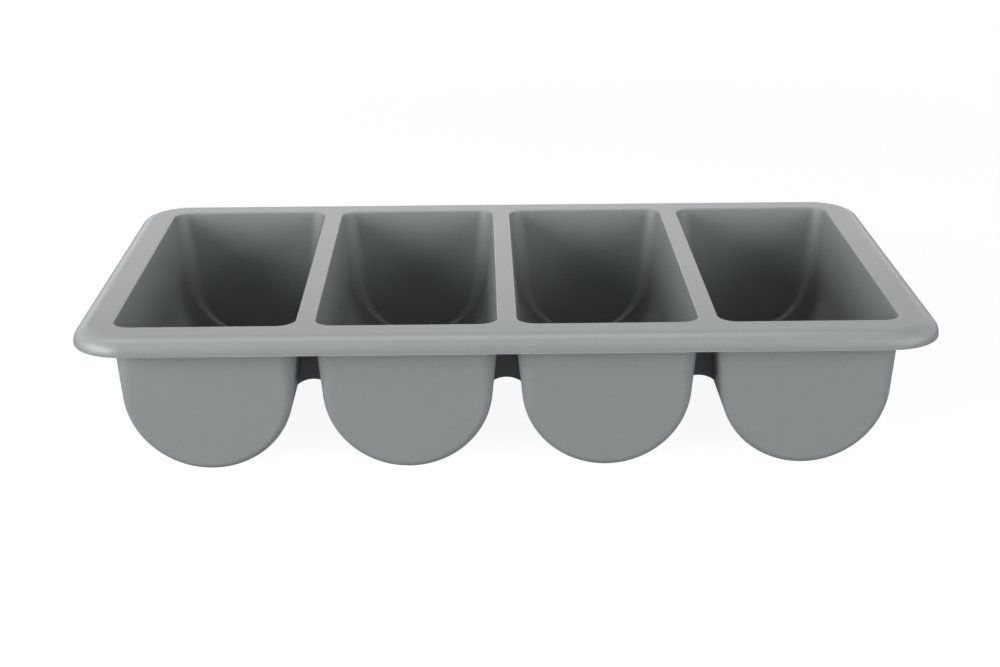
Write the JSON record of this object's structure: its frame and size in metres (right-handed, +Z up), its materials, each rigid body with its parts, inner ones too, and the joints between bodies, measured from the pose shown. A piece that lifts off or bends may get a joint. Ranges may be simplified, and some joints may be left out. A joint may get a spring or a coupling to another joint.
{
  "type": "cutlery box",
  "caption": "Grey plastic cutlery box with a row of open, drafted, round-bottomed compartments, arched webs between them and a rolled rim.",
  "frame": {"origin": "centre of the footprint, at the height of the surface that the box stands on", "axes": "+X along the row of compartments, +Y from the front to the back, +Z up"},
  "size_m": [0.514, 0.292, 0.0935],
  "materials": {
    "grey_plastic": "satin moulded polypropylene, fine even texture"
  },
  "bodies": {
    "root": {"rim": "grey_plastic", "deck": "grey_plastic", "compartment_1": "grey_plastic", "compartment_2": "grey_plastic", "compartment_3": "grey_plastic", "compartment_4": "grey_plastic", "web_1_front": "grey_plastic", "web_1_back": "grey_plastic", "web_2_front": "grey_plastic", "web_2_back": "grey_plastic", "web_3_front": "grey_plastic", "web_3_back": "grey_plastic"}
  },
  "joints": []
}
